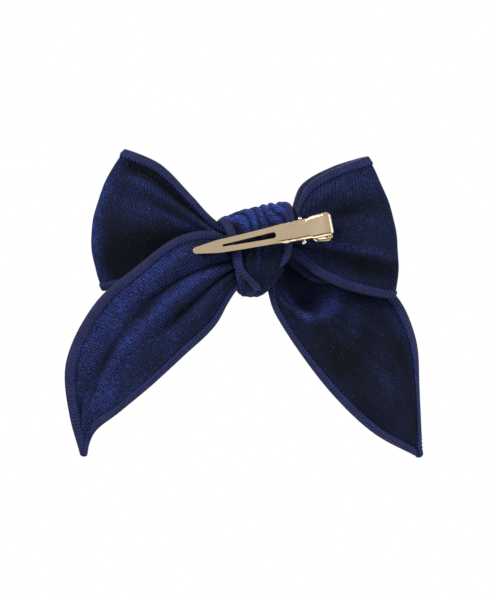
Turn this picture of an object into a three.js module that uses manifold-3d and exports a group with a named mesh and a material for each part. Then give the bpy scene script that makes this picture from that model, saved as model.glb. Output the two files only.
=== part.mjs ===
// Hand-tied velvet hair bow on a sprung single-prong clip.
// Millimetres, +Z up as worn. The clip is on the -Y side and the display side faces +Y.
// The origin is between the closed jaws, where the hair is held.
import * as THREE from 'three';
import { ParametricGeometry } from 'three/addons/geometries/ParametricGeometry.js';
import { mergeVertices } from 'three/addons/utils/BufferGeometryUtils.js';
import Module from 'manifold-3d';

const wasm = await Module();
wasm.setup();

// ---- driving dimensions ----------------------------------------------------------------------

const GAP = 0.35; // air between pieces that touch on the real bow
const VELVET = 1.2; // thickness of the velvet as it lies
const EDGING_WIDTH = 3.0; // width of the overlocked thread edge
const EDGING_THICKNESS = 1.8;
const EDGING_SHARE = 0.22; // most of a narrow place that one edging may take up
const TIP_EDGING_SHARE = 0.44; // the same at a tail's point, where the two edgings meet

const KNOT = {
  depthCentre: 11.0, // middle of the knot, measured back from the jaws
  halfDepth: 8.4,
  top: 9.8, // height of the wrap's top above the jaws
  topSlope: 0.16, // the top rises towards the lever end of the clip
  bottom: -16.5,
  squareness: 2.6, // 2 is an ellipse, larger is boxier
};

const CLIP = {
  lean: 10.3, // degrees that the clip rises towards its lever end
  roll: 11.0, // degrees that its flat face is tipped upwards
  tip: -17.2, // places along the clip from the origin
  pivot: 18.9,
  metal: 0.5,
  mouth: 0.15, // half the gap between the closed jaws
  curlRadius: 0.9, // of the sides that are curled over to stiffen the sheet
  pinDepth: -1.35,
  pinRadius: 0.5,
  holeRadius: 0.85,
  earRadius: 1.4,
};

const NAVY = '#18205a';
const THREAD = '#302d6c';
const PALE_GOLD = '#dcc295';
const STEEL = '#b9b4aa';

// ---- materials -------------------------------------------------------------------------------

const finish = (color, roughness, metalness) =>
  new THREE.MeshStandardMaterial({ color, roughness, metalness });
const velvet = () => finish(NAVY, 0.95, 0);
const thread = () => finish(THREAD, 0.8, 0);
const gold = () => finish(PALE_GOLD, 0.25, 1);
const steel = () => finish(STEEL, 0.3, 1);
const glue = () => finish('#d8cfae', 0.4, 0);

// ---- helpers ---------------------------------------------------------------------------------

const lerp = THREE.MathUtils.lerp;

/** Keeps only positions, shares the vertices and drops the triangles that have no area. */
function closedBody(geometry) {
  geometry.deleteAttribute('normal');
  geometry.deleteAttribute('uv');
  const merged = mergeVertices(geometry);
  const corners = merged.index.array;
  const kept = [];
  for (let i = 0; i < corners.length; i += 3) {
    const [a, b, c] = corners.slice(i, i + 3);
    if (a !== b && b !== c && c !== a) kept.push(a, b, c);
  }
  merged.setIndex(kept);
  merged.computeVertexNormals();
  return merged;
}

/** Turns a closed geometry into a solid that can be joined and cut. */
function toSolid(geometry) {
  const body = closedBody(geometry);
  return new wasm.Manifold(new wasm.Mesh({
    numProp: 3,
    vertProperties: body.attributes.position.array,
    triVerts: Uint32Array.from(body.index.array),
  }));
}

/** Turns a joined or cut solid back into a geometry. */
function fromSolid(solid) {
  const mesh = solid.getMesh();
  const geometry = new THREE.BufferGeometry();
  geometry.setAttribute('position', new THREE.BufferAttribute(mesh.vertProperties, 3));
  geometry.setIndex(Array.from(mesh.triVerts));
  geometry.computeVertexNormals();
  return geometry;
}

function namedMesh(name, geometry, material) {
  const mesh = new THREE.Mesh(geometry, material);
  mesh.name = name;
  return mesh;
}

// ---- cloth -----------------------------------------------------------------------------------

/** A strip surface through three lines of places: its low edge, its middle and its high edge. */
function ribbon(low, middle, high) {
  const [lowLine, middleLine, highLine] = [low, middle, high].map(
    (places) => new THREE.CatmullRomCurve3(places.map((place) => new THREE.Vector3(...place))),
  );
  const at = (u, v) =>
    new THREE.Vector3()
      .addScaledVector(lowLine.getPoint(u), (1 - v) * (1 - 2 * v))
      .addScaledVector(middleLine.getPoint(u), 4 * v * (1 - v))
      .addScaledVector(highLine.getPoint(u), v * (2 * v - 1));
  const width = (u) => at(u, 0).distanceTo(at(u, 0.5)) + at(u, 0.5).distanceTo(at(u, 1));
  return { at, width, closed: false };
}

/** The square direction of a surface at a place, from two short steps over it. */
function squareTo(surface, u, v) {
  const step = 1e-3;
  const [before, after] = surface.closed
    ? [(u - step + 1) % 1, (u + step) % 1]
    : [Math.max(0, u - step), Math.min(1, u + step)];
  const along = surface.at(after, v).sub(surface.at(before, v));
  const across = surface.at(u, Math.min(1, v + step)).sub(surface.at(u, Math.max(0, v - step)));
  return along.cross(across).normalize();
}

/** A closed body of even thickness over part of a surface, with rounded edges. */
function clothBody(surface, { from, to, thickness, along, around }) {
  const edgeRounding = 0.35;
  const shape = (place, turn, target) => {
    const u = surface.closed ? place % 1 : place;
    const corner = Math.round(turn * around);
    const angle = (2 * Math.PI * Math.min(corner, around - corner)) / around;
    const v = lerp(from(u), to(u), (1 - Math.cos(angle)) / 2);
    const isEnd = !surface.closed && (u === 0 || u === 1);
    const isRim = corner % (around / 2) === 0;
    const face = corner < around / 2 ? 1 : -1;
    const half = isEnd || isRim ? 0 : (thickness / 2) * face * Math.sin(angle) ** edgeRounding;
    target.copy(surface.at(u, v)).addScaledVector(squareTo(surface, u, v), half);
  };
  return closedBody(new ParametricGeometry(shape, along, around));
}

/** The velvet of a strip and the two overlocked edges along it, as three named meshes. */
function edgedStrip(surface, names, { share, along }) {
  const edging = (u) => Math.min(EDGING_WIDTH / surface.width(u), share);
  const air = (u) => GAP / surface.width(u);
  const lowest = () => 0;
  const highest = () => 1;
  const lowEdge = { from: lowest, to: edging, thickness: EDGING_THICKNESS, along, around: 6 };
  const highEdge = { ...lowEdge, from: (u) => 1 - edging(u), to: highest };
  const cloth = {
    from: (u) => edging(u) + air(u),
    to: (u) => 1 - edging(u) - air(u),
    thickness: VELVET,
    along,
    around: 16,
  };
  return [
    namedMesh(names.cloth, clothBody(surface, cloth), velvet()),
    namedMesh(names.low, clothBody(surface, lowEdge), thread()),
    namedMesh(names.high, clothBody(surface, highEdge), thread()),
  ];
}

// Each loop goes out along the clip side, round its outer fold and back along the display side.
function leftLoop() {
  const bottom = [
    [-3.2, 8.6, -3.6], [-9, 8.2, -4.6], [-19, 7.6, -8.5], [-32, 8, -13], [-46.6, 10.8, -16],
    [-32, 14.6, -12], [-19, 15.2, -7], [-9, 14.6, -4], [-3.2, 13.4, -3.6],
  ];
  const middle = [
    [-3.2, 8, 0.2], [-9, 7.2, 1], [-19, 6.6, 4], [-34, 6.4, 7], [-49.6, 10.8, 7.5],
    [-34, 16.8, 7], [-19, 17.2, 4], [-9, 15, 1], [-3.2, 14, 0.2],
  ];
  const top = [
    [-3.2, 8.6, 4], [-9.5, 8, 5.2], [-17.3, 7, 15.5], [-28, 7.4, 26.3], [-39, 10.8, 31.2],
    [-28, 14.6, 26], [-18, 15, 16.5], [-9.5, 14, 5.4], [-3.2, 13.4, 4],
  ];
  const names = {
    cloth: 'left_loop',
    low: 'left_loop_bottom_edging',
    high: 'left_loop_top_edging',
  };
  return edgedStrip(ribbon(bottom, middle, top), names, { share: EDGING_SHARE, along: 32 });
}

function rightLoop() {
  const bottom = [
    [9.6, 8.6, -2.4], [16, 7.4, -5], [24, 6, -11.3], [35, 7, -16.2], [48.7, 11, -18.6],
    [35, 12.8, -13.5], [23, 11.4, -13], [15.6, 11.6, -7.4], [9.6, 13.4, -2.4],
  ];
  const middle = [
    [9.6, 8, 2], [17, 6.6, 3.2], [26, 5.8, 5], [37, 6.5, 5.5], [49.2, 11, 4.5],
    [37, 17, 5.5], [26, 17, 5], [17, 15.4, 3.2], [9.6, 14, 2],
  ];
  const top = [
    [9.6, 8.6, 6], [14.8, 7.8, 8.6], [20.2, 6.6, 19], [29.5, 7.3, 24.6], [40.2, 11, 29],
    [28.6, 15, 25.6], [18.6, 15.2, 19.4], [14.8, 14, 9.2], [9.6, 13.4, 6],
  ];
  const names = {
    cloth: 'right_loop',
    low: 'right_loop_bottom_edging',
    high: 'right_loop_top_edging',
  };
  return edgedStrip(ribbon(bottom, middle, top), names, { share: EDGING_SHARE, along: 32 });
}

// Each tail goes from inside the knot down to its point.
function leftTail() {
  const inner = [
    [1.4, 8.4, -10.6], [-3.9, 6.2, -16.8], [-9.5, 6, -27], [-20, 6, -37.2], [-31, 6.5, -47.2],
    [-41.5, 8, -56], [-50, 9.3, -63], [-53.2, 10, -71],
  ];
  const middle = [
    [-1.5, 5.6, -5], [-7.5, 4.4, -7], [-16, 3.8, -13], [-27, 3.8, -23], [-38, 4.6, -34],
    [-47, 7.4, -47], [-53, 9, -59], [-53.8, 10, -71.1],
  ];
  const outer = [
    [-3.6, 5.6, 1], [-11, 4.8, 3.8], [-22, 4.4, 2.1], [-36, 4.2, -8], [-49.5, 5, -20.2],
    [-59.4, 8, -40], [-58.2, 9.5, -58], [-54.4, 10, -70.9],
  ];
  const names = {
    cloth: 'left_tail',
    low: 'left_tail_inner_edging',
    high: 'left_tail_outer_edging',
  };
  return edgedStrip(ribbon(inner, middle, outer), names, { share: TIP_EDGING_SHARE, along: 22 });
}

function rightTail() {
  const inner = [
    [5.6, 10, -10.5], [7.4, 8.4, -15.6], [9.8, 7.6, -23], [16.5, 8, -34], [28.7, 9, -50],
    [42.8, 9.5, -63.3], [57.9, 10, -71.5],
  ];
  const middle = [
    [7.6, 13, -7.5], [13, 12.6, -12], [22, 12.4, -20], [33.5, 11.5, -30], [44.5, 10.5, -43],
    [52, 10, -57], [58.5, 10, -71.2],
  ];
  const outer = [
    [9, 16, -4], [20, 17, -5.5], [36, 17.4, -8.5], [50, 15, -16.5], [57, 12.5, -31],
    [58.4, 11, -48], [59, 10, -70.9],
  ];
  const names = {
    cloth: 'right_tail',
    low: 'right_tail_inner_edging',
    high: 'right_tail_outer_edging',
  };
  return edgedStrip(ribbon(inner, middle, outer), names, { share: TIP_EDGING_SHARE, along: 20 });
}

/** The wrap's surface: u goes round the knot from its top over the clip side, v from left to right. */
const knotSurface = {
  closed: true,
  at(u, v) {
    const turn = 2 * Math.PI * u;
    const [up, out] = [Math.cos(turn), Math.sin(turn)];
    const left = -5.9 - 3.4 * up + 1.5 * out;
    const right = 13.3 + 4.1 * up - 2.2 * Math.cos(2 * turn);
    const x = lerp(left, right, v);
    const top = KNOT.top + KNOT.topSlope * x;
    const halfHeight = (top - KNOT.bottom) / 2;
    const boxy = (t) => Math.sign(t) * Math.abs(t) ** (2 / KNOT.squareness);
    return new THREE.Vector3(
      x,
      KNOT.depthCentre - KNOT.halfDepth * boxy(out),
      KNOT.bottom + halfHeight * (1 + boxy(up)),
    );
  },
  width(u) {
    return this.at(u, 0).distanceTo(this.at(u, 1));
  },
};

function knotWrap() {
  const names = {
    cloth: 'knot_wrap',
    low: 'knot_wrap_left_edging',
    high: 'knot_wrap_right_edging',
  };
  return edgedStrip(knotSurface, names, { share: EDGING_SHARE, along: 32 });
}

/** The gathered middle of the strip, a plain rounded plug that fills the hollow of the wrap. */
function knotCore() {
  const plug = new THREE.SphereGeometry(1, 14, 10);
  plug.scale(5.2, 5.4, 8.4);
  plug.translate(3.2, KNOT.depthCentre + 0.4, -2.6);
  return namedMesh('knot_core', closedBody(plug), velvet());
}

// ---- clip, in its own frame: x from tip to lever, y away from the hair side, z across ---------

/** Half of a pressed sheet's section: places from its middle out to its side, which is curled over. */
function halfSection({ half, curl, wall }) {
  const arcSteps = 4;
  const radius = Math.min(CLIP.curlRadius, 0.8 * half);
  const bend = THREE.MathUtils.degToRad(curl);
  const places = [];
  for (let k = 0; k <= arcSteps; k += 1) {
    const turn = (bend * k) / arcSteps;
    const across = half - radius + radius * Math.sin(turn);
    places.push({ across, depth: radius * (1 - Math.cos(turn)), turn });
  }
  const last = places[arcSteps];
  const straight = THREE.MathUtils.lerp(radius, wall, Math.min(1, curl / 45));
  places.push({
    across: last.across + straight * Math.cos(bend),
    depth: last.depth + straight * Math.sin(bend),
    turn: bend,
  });
  return places;
}

/** The closed outline of a pressed sheet's section, as [across, depth] pairs. */
function sheetSection(station) {
  const side = halfSection(station);
  const face = (way) => side.map(({ across, depth, turn }) => [
    across + (way * CLIP.metal * Math.sin(turn)) / 2,
    depth - (way * CLIP.metal * Math.cos(turn)) / 2,
  ]);
  const mirrored = (places) => places.map(([across, depth]) => [-across, depth]).reverse();
  const [outer, inner] = [face(1), face(-1)];
  return [...mirrored(outer), ...outer, ...[...inner].reverse(), ...mirrored(inner).reverse()];
}

/** A sheet pressed into a jaw. Each station is [place, middle of the metal, half width, curl in
 *  degrees, straight wall]; the sides curl towards +y for facing 1 and -y for facing -1. */
function pressedSheet(rows, facing) {
  const stations = rows.map(([x, y, half, curl, wall]) => ({ x, y, half, curl, wall }));
  const rings = stations.map((station, i) => {
    const before = stations[Math.max(0, i - 1)];
    const after = stations[Math.min(stations.length - 1, i + 1)];
    const run = new THREE.Vector2(after.x - before.x, after.y - before.y).normalize();
    return sheetSection(station).map(([across, depth]) => new THREE.Vector3(
      station.x - run.y * depth * facing,
      station.y + run.x * depth * facing,
      across,
    ));
  });
  const middles = [rings[0], rings[rings.length - 1]].map((ring) =>
    ring.reduce((sum, place) => sum.add(place), new THREE.Vector3()).divideScalar(ring.length));
  const around = rings[0].length;
  const all = [Array(around).fill(middles[0]), ...rings, Array(around).fill(middles[1])];
  const along = all.length - 1;
  const shape = (u, v, target) => {
    const corner = Math.round(v * around) % around;
    const ordered = facing > 0 ? corner : (around - corner) % around;
    target.copy(all[Math.round(u * along)][ordered]);
  };
  return toSolid(new ParametricGeometry(shape, along, around));
}

/** A flat outline in x and y made into a slab between two places across the clip. */
function slabAcross(shape, from, to) {
  const slab = new THREE.ExtrudeGeometry(shape, {
    depth: to - from,
    bevelEnabled: false,
    curveSegments: 8,
  });
  slab.translate(0, 0, from);
  return toSolid(slab);
}

/** A plan outline in x and z made into a tall block that trims the bent sheet. */
function planBlock(shape) {
  const tall = 30;
  const block = new THREE.ExtrudeGeometry(shape, {
    depth: tall,
    bevelEnabled: false,
    curveSegments: 8,
  });
  block.rotateX(Math.PI / 2);
  block.translate(0, tall / 2, 0);
  return toSolid(block);
}

/** A pair of round-ended ears that reach from a jaw's sheet past the pin. */
function earPair(reachFrom, inner) {
  const ear = new THREE.Shape();
  const half = CLIP.earRadius;
  const upwards = reachFrom > CLIP.pinDepth;
  ear.moveTo(CLIP.pivot - half - 1.2, reachFrom);
  ear.lineTo(CLIP.pivot - half, CLIP.pinDepth);
  if (upwards) ear.absarc(CLIP.pivot, CLIP.pinDepth, half, Math.PI, 2 * Math.PI, false);
  else ear.absarc(CLIP.pivot, CLIP.pinDepth, half, Math.PI, 0, true);
  ear.lineTo(CLIP.pivot + half + 1.2, reachFrom);
  return slabAcross(ear, inner, inner + CLIP.metal)
    .add(slabAcross(ear, -inner - CLIP.metal, -inner));
}

/** The round bar that clears the pin through the ears. */
function pinHole() {
  const bar = new THREE.CylinderGeometry(CLIP.holeRadius, CLIP.holeRadius, 12, 20);
  bar.rotateX(Math.PI / 2);
  bar.translate(CLIP.pivot, CLIP.pinDepth, 0);
  return toSolid(bar);
}

/** The slot that lightens a prong, narrow towards the tip and round near the pivot. */
function prongSlot(roundHalf) {
  const narrowEnd = -7.4;
  const roundCentre = 9.3;
  const narrowHalf = roundHalf / 3;
  const slot = new THREE.Shape();
  slot.moveTo(narrowEnd, -narrowHalf);
  slot.lineTo(roundCentre, -roundHalf);
  slot.absarc(roundCentre, 0, roundHalf, -Math.PI / 2, Math.PI / 2, false);
  slot.lineTo(narrowEnd, narrowHalf);
  return planBlock(slot);
}

function upperJaw() {
  const sheet = pressedSheet([
    [CLIP.tip, -0.4, 0.35, 0, 0], [-17.05, -0.4, 0.65, 0, 0], [-16.7, -0.4, 0.92, 0, 0],
    [-16.1, -0.4, 1.1, 0, 0], [-9, -0.4, 2.15, 0, 0], [-2, -0.75, 2.45, 0, 0],
    [5, -1.5, 2.7, 0, 0], [10.3, -2.3, 2.95, 0, 0], [12.5, -2.65, 3.0, 35, 0.5],
    [14.5, -2.9, 3.05, 80, 0.3], [17, -3.05, 3.1, 90, 0.3], [20.4, -3.4, 3.1, 90, 0.3],
    [21.2, -3.65, 3.25, 90, 0.35], [22.2, -3.95, 3.65, 90, 0.5], [26.2, -5.05, 3.75, 90, 0.5],
    [27.4, -5.2, 3.75, 90, 0.4], [28.1, -5.0, 3.7, 90, 0.3], [28.6, -4.5, 3.6, 90, 0.2],
    [28.8, -3.9, 3.5, 90, 0.1], [28.8, -3.2, 3.4, 90, 0.1],
  ], 1);
  return sheet
    .subtract(prongSlot(1.05))
    .add(earPair(-2.9, 2.85))
    .subtract(pinHole());
}

function lowerJaw() {
  const sheet = pressedSheet([
    [CLIP.tip + 0.5, 0.4, 0.35, 0, 0], [-16.55, 0.4, 0.6, 0, 0], [-16.2, 0.4, 0.85, 0, 0],
    [-15.6, 0.4, 1.0, 0, 0], [-9, 0.4, 1.95, 0, 0], [10.3, 0.4, 2.6, 0, 0],
    [15, 0.4, 2.6, 0, 0], [15.6, 0.4, 2.2, 0, 0], [20.6, 0.5, 2.2, 0, 0],
    [21.6, 0.85, 2.3, 0, 0], [22.6, 1.35, 3.5, 45, 0.4], [23.6, 1.9, 3.8, 70, 0.3],
    [26.2, 3.1, 3.9, 85, 0.3], [27.2, 3.3, 3.9, 85, 0.3], [27.9, 3.1, 3.8, 85, 0.2],
    [28.3, 2.6, 3.6, 85, 0.1], [28.4, 2.0, 3.4, 85, 0.1],
  ], -1);
  return sheet
    .subtract(prongSlot(1.45))
    .add(earPair(0.4, 1.95))
    .subtract(pinHole());
}

/** A rivet with a low round head outside each pair of ears. */
function pivotPin() {
  const shoulder = 3.72;
  const end = 4.55;
  const head = 0.8;
  const half = [
    [head, shoulder], [head, shoulder + 0.45], [0.5, end], [0, end],
  ];
  const profile = [
    ...half.map(([r, z]) => new THREE.Vector2(r, -z)).reverse(),
    new THREE.Vector2(CLIP.pinRadius, -shoulder),
    new THREE.Vector2(CLIP.pinRadius, shoulder),
    ...half.map(([r, z]) => new THREE.Vector2(r, z)),
  ];
  const pin = new THREE.LatheGeometry(profile, 16);
  pin.rotateX(Math.PI / 2);
  pin.translate(CLIP.pivot, CLIP.pinDepth, 0);
  return closedBody(pin);
}

/** A wire that winds round the pin and ends in one leg under each lever. */
class SpringWire extends THREE.Curve {
  constructor() {
    super();
    this.coilRadius = 0.95;
    this.pitch = 0.75;
    this.turns = 2.44;
    this.legLength = 3.4;
    this.legShare = 0.2; // share of the curve in each leg
    this.firstAngle = THREE.MathUtils.degToRad(-105); // where the upper leg leaves the coil
  }

  coil(share) {
    const angle = this.firstAngle - 2 * Math.PI * this.turns * share;
    const z = (share - 0.5) * this.pitch * this.turns;
    const [c, s] = [Math.cos(angle), Math.sin(angle)];
    return new THREE.Vector3(CLIP.pivot + this.coilRadius * c, CLIP.pinDepth + this.coilRadius * s, z);
  }

  getPoint(t, target = new THREE.Vector3()) {
    const share = (t - this.legShare) / (1 - 2 * this.legShare);
    const nearest = THREE.MathUtils.clamp(share, 0, 1);
    const beyond = share - nearest;
    const step = 1e-4;
    const run = nearest > 0.5
      ? this.coil(1).sub(this.coil(1 - step))
      : this.coil(step).sub(this.coil(0));
    const lengthShare = (beyond * (1 - 2 * this.legShare)) / this.legShare;
    return target.copy(this.coil(nearest)).addScaledVector(run.normalize(), this.legLength * lengthShare);
  }
}

function torsionSpring() {
  const section = new THREE.Shape();
  section.absarc(0, 0, 0.2, 0, 2 * Math.PI, false);
  return closedBody(new THREE.ExtrudeGeometry(section, {
    steps: 60,
    curveSegments: 6,
    extrudePath: new SpringWire(),
  }));
}

/** A dab of glue between the lower jaw's solid middle and the wrap. */
function gluePad() {
  const thickness = 0.6;
  const pad = new THREE.Shape();
  pad.absellipse(13.4, 0, 2.6, 2.1, 0, 2 * Math.PI);
  const slab = new THREE.ExtrudeGeometry(pad, {
    depth: thickness,
    bevelEnabled: false,
    curveSegments: 10,
  });
  slab.rotateX(Math.PI / 2);
  slab.translate(0, CLIP.mouth + CLIP.metal + GAP + thickness, 0);
  return closedBody(slab);
}

function clip() {
  const leaning = new THREE.Group();
  leaning.rotation.y = -THREE.MathUtils.degToRad(CLIP.lean);
  const rolled = new THREE.Group();
  rolled.rotation.x = -THREE.MathUtils.degToRad(CLIP.roll);
  leaning.add(rolled);
  rolled.add(
    namedMesh('clip_upper_jaw', fromSolid(upperJaw()), gold()),
    namedMesh('clip_lower_jaw', fromSolid(lowerJaw()), gold()),
    namedMesh('clip_pivot_pin', pivotPin(), steel()),
    namedMesh('clip_torsion_spring', torsionSpring(), steel()),
    namedMesh('glue_pad', gluePad(), glue()),
  );
  return leaning;
}

// ---- the whole bow ---------------------------------------------------------------------------

const group = new THREE.Group();
group.add(...leftLoop(), ...rightLoop(), ...leftTail(), ...rightTail(), ...knotWrap(), knotCore(), clip());

export default group;
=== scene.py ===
"""Builds the cloth, thread edges, clip and studio of a hand-tied velvet hair bow on its frame."""
import math

import bpy
import numpy as np
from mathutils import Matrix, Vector


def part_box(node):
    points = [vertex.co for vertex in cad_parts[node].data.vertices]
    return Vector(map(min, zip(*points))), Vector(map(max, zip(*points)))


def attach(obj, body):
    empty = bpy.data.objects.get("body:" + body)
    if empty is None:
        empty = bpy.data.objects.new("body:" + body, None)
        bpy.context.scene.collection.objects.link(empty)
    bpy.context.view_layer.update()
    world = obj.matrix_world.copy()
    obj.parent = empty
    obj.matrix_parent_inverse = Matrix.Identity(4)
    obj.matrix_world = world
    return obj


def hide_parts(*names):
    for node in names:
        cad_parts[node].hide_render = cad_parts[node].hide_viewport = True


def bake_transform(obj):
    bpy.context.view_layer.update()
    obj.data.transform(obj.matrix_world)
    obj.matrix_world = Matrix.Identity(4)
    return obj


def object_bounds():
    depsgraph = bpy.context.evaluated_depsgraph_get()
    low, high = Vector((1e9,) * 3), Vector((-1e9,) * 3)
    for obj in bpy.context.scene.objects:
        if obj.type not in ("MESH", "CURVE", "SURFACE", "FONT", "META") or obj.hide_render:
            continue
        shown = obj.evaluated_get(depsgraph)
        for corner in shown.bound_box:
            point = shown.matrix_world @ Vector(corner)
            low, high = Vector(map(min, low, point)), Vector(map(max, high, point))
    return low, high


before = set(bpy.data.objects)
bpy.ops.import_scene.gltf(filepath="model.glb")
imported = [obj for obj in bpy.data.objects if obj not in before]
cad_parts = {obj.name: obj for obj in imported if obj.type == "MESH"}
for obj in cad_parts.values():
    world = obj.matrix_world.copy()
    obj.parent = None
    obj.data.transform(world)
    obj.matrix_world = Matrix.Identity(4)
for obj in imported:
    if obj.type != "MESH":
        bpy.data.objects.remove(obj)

bl_info = {
    "name": "Velvet Hair Bow",
    "version": (1, 0, 0),
    "blender": (4, 5, 0),
    "location": "View3D > Sidebar > Bow",
    "description": "Builds a hand-tied velvet hair bow with overlocked edges on a sprung clip",
    "category": "Object",
}

MM = 0.001
# The velvet strip's width inside its thread edges, and how much of the knot one edge crosses.
KNOT_WIDTH = 0.018
# Places along one wound stitch, and along one zigzag of the looper thread.
STITCH_STEPS = 12
ZIGZAG_STEPS = 8
# The core's places along it and round it.
CORE_ROWS = 49
CORE_SIDES = 96
CAD_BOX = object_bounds()

# ---- settings a user would change --------------------------------------------------------------


def colour_property(name, description, default):
    """A colour, given in sRGB as hex digits."""
    return bpy.props.StringProperty(name=name, description=description, default=default)


def length_property(name, description, millimetres):
    """A length, kept in metres."""
    return bpy.props.FloatProperty(
        name=name, description=description, default=millimetres * MM, unit="LENGTH", precision=5
    )


class VelvetSettings(bpy.types.PropertyGroup):
    thickness: length_property("Thickness", "Thickness of the velvet with its pile", 1.1)
    rib_pitch: length_property("Rib pitch", "Distance between the knitted ribs", 0.86)
    bias: bpy.props.FloatProperty(
        name="Bias", description="Turn of the ribs on the strip", default=0.35, subtype="ANGLE"
    )
    # The deep, half lit and lit colours are painted shade, half light and light; the velvet's colour
    # runs between them with its painted light attribute.
    deep: colour_property("Deep colour", "Colour of the pile seen end on", "0c0f17")
    lit: colour_property("Lit colour", "Colour of the pile brushed towards the light", "2c3c82")
    between: colour_property("Half lit colour", "Colour of the half brushed pile", "1a203e")
    sheen: colour_property("Sheen", "Tint of the light caught at a glancing angle", "6a7cc0")


class EdgingSettings(bpy.types.PropertyGroup):
    width: length_property("Width", "Width of the overlocked edge", 3.0)
    thickness: length_property("Thickness", "Thickness of the overlocked edge", 1.5)
    stitch_pitch: length_property("Stitch pitch", "Distance from one stitch to the next", 1.15)
    thread_radius: length_property("Thread radius", "Half the thread's thickness", 0.27)
    colour: colour_property("Thread colour", "Colour of the overlocking thread", "192155")


class ClipSettings(bpy.types.PropertyGroup):
    edge_radius: length_property("Edge radius", "Roundness of the sheet metal's edges", 0.1)
    plating: colour_property("Plating", "Colour of the pale gold plating", "ead2ae")
    wire: colour_property("Wire", "Colour of the drawn spring wire", "b9b6b0")


class StageSettings(bpy.types.PropertyGroup):
    view_height: length_property("View height", "Height that the camera takes in at the bow", 196)
    lens: bpy.props.FloatProperty(
        name="Lens", description="Focal length", default=100.0, unit="CAMERA"
    )
    floor_drop: length_property("Floor drop", "Height of the tails' points over the floor", 92)


# ---- small helpers -----------------------------------------------------------------------------


def settings(name):
    return getattr(bpy.context.scene, name)


def linear(hex_colour):
    """Linear RGBA from six sRGB hex digits."""
    parts = [int(hex_colour[i : i + 2], 16) / 255 for i in (0, 2, 4)]
    return [c / 12.92 if c <= 0.04045 else ((c + 0.055) / 1.055) ** 2.4 for c in parts] + [1.0]


def deselect_all():
    for chosen in list(bpy.context.selected_objects):
        chosen.select_set(False)


def pick(obj):
    """Makes one object the only selected and active one."""
    deselect_all()
    obj.select_set(True)
    bpy.context.view_layer.objects.active = obj


def in_edit_mode(obj, *steps):
    """Runs operators on all of one mesh in edit mode."""
    pick(obj)
    bpy.ops.object.mode_set(mode="EDIT")
    bpy.ops.mesh.select_all(action="SELECT")
    for step in steps:
        step()
    bpy.ops.object.mode_set(mode="OBJECT")


def rise(t, start, end):
    """A smooth step from 0 at start to 1 at end."""
    x = np.clip((t - start) / (end - start), 0, 1)
    return x * x * (3 - 2 * x)


def fall(t, start, end):
    """A smooth step from 1 at start to 0 at end."""
    return 1 - rise(t, start, end)


def hump(v, centre, width):
    """A smooth bump of height 1."""
    return np.exp(-(((v - centre) / width) ** 2))


def length_along(path):
    """How far along a path each of its places lies."""
    return np.concatenate([[0], np.cumsum(np.linalg.norm(np.diff(path, axis=0), axis=-1))])


def unit(a):
    return a / np.maximum(np.linalg.norm(a, axis=-1, keepdims=True), 1e-12)


def box_of(nodes):
    """Lowest and highest corner round several CAD nodes, in metres."""
    corners = [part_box(node) for node in nodes]
    return (
        np.min([np.array(low) for low, _ in corners], axis=0),
        np.max([np.array(high) for _, high in corners], axis=0),
    )


# ---- cloth surfaces ----------------------------------------------------------------------------


class Line:
    """A smooth centripetal curve through places."""

    def __init__(self, places):
        p = np.array(places, float)
        self.places = np.vstack([2 * p[0] - p[1], p, 2 * p[-1] - p[-2]])

    def at(self, u):
        spans = len(self.places) - 3
        x = np.clip(np.asarray(u, float) * spans, 0, spans - 1e-9)
        i = x.astype(int)
        t = (x - i)[..., None]
        p0, p1, p2, p3 = (self.places[i + k] for k in range(4))

        def gap(a, b):
            return np.maximum(((b - a) ** 2).sum(-1) ** 0.25, 1e-4)[..., None]

        g0, g1, g2 = gap(p0, p1), gap(p1, p2), gap(p2, p3)
        start = ((p1 - p0) / g0 - (p2 - p0) / (g0 + g1) + (p2 - p1) / g1) * g1
        end = ((p2 - p1) / g1 - (p3 - p1) / (g1 + g2) + (p3 - p2) / g2) * g1
        return (
            p1
            + start * t
            + (3 * (p2 - p1) - 2 * start - end) * t**2
            + (2 * (p1 - p2) + start + end) * t**3
        )


class Cloth:
    """A strip of cloth: a smooth base surface and the folds that stand on it.
    The base is drawn in millimetres and then fitted to the box of its CAD nodes. u runs along
    the strip and v across it, both from 0 to 1."""

    def __init__(self, base, folds, lay, outward, nodes, most_edging, closed):
        # lay is the strip's painted light and shade, from 0 to 1.
        self.base, self.folds, self.lay = base, folds, lay
        self.outward, self.most_edging, self.closed = outward, most_edging, closed
        u, v = np.meshgrid(np.linspace(0, 1, 161), np.linspace(0, 1, 21), indexing="ij")
        drawn = base(u, v) * MM
        low, high = box_of(nodes)
        half_edging = settings("bow_edging").thickness / 2
        low[1] += half_edging
        high[1] -= half_edging
        drawn_low, drawn_high = drawn.min((0, 1)), drawn.max((0, 1))
        self.scale = (high - low) / (drawn_high - drawn_low)
        self.shift = low - drawn_low * self.scale

    def smooth_at(self, u, v):
        return self.base(u, v) * MM * self.scale + self.shift

    def square_of(self, surface, u, v):
        step = 1e-3
        if self.closed:
            before, after = (u - step) % 1, (u + step) % 1
        else:
            before, after = np.maximum(u - step, 0), np.minimum(u + step, 1)
        along = surface(after, v) - surface(before, v)
        across = surface(u, np.minimum(v + step, 1)) - surface(u, np.maximum(v - step, 0))
        return unit(np.cross(along, across)) * self.outward

    def at(self, u, v):
        lift = self.folds(u, v)[..., None] * MM
        return self.smooth_at(u, v) + self.square_of(self.smooth_at, u, v) * lift

    def square(self, u, v):
        return self.square_of(self.at, u, v)

    def width(self, u):
        """Width across the smooth surface."""
        v = np.linspace(0, 1, 9)
        places = self.smooth_at(np.asarray(u)[..., None] + 0 * v, 0 * np.asarray(u)[..., None] + v)
        return np.linalg.norm(np.diff(places, axis=-2), axis=-1).sum(-1)

    def edge_share(self, u):
        """The share of the width that one overlocked edge takes."""
        return np.minimum(settings("bow_edging").width / self.width(u), self.most_edging)


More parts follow.
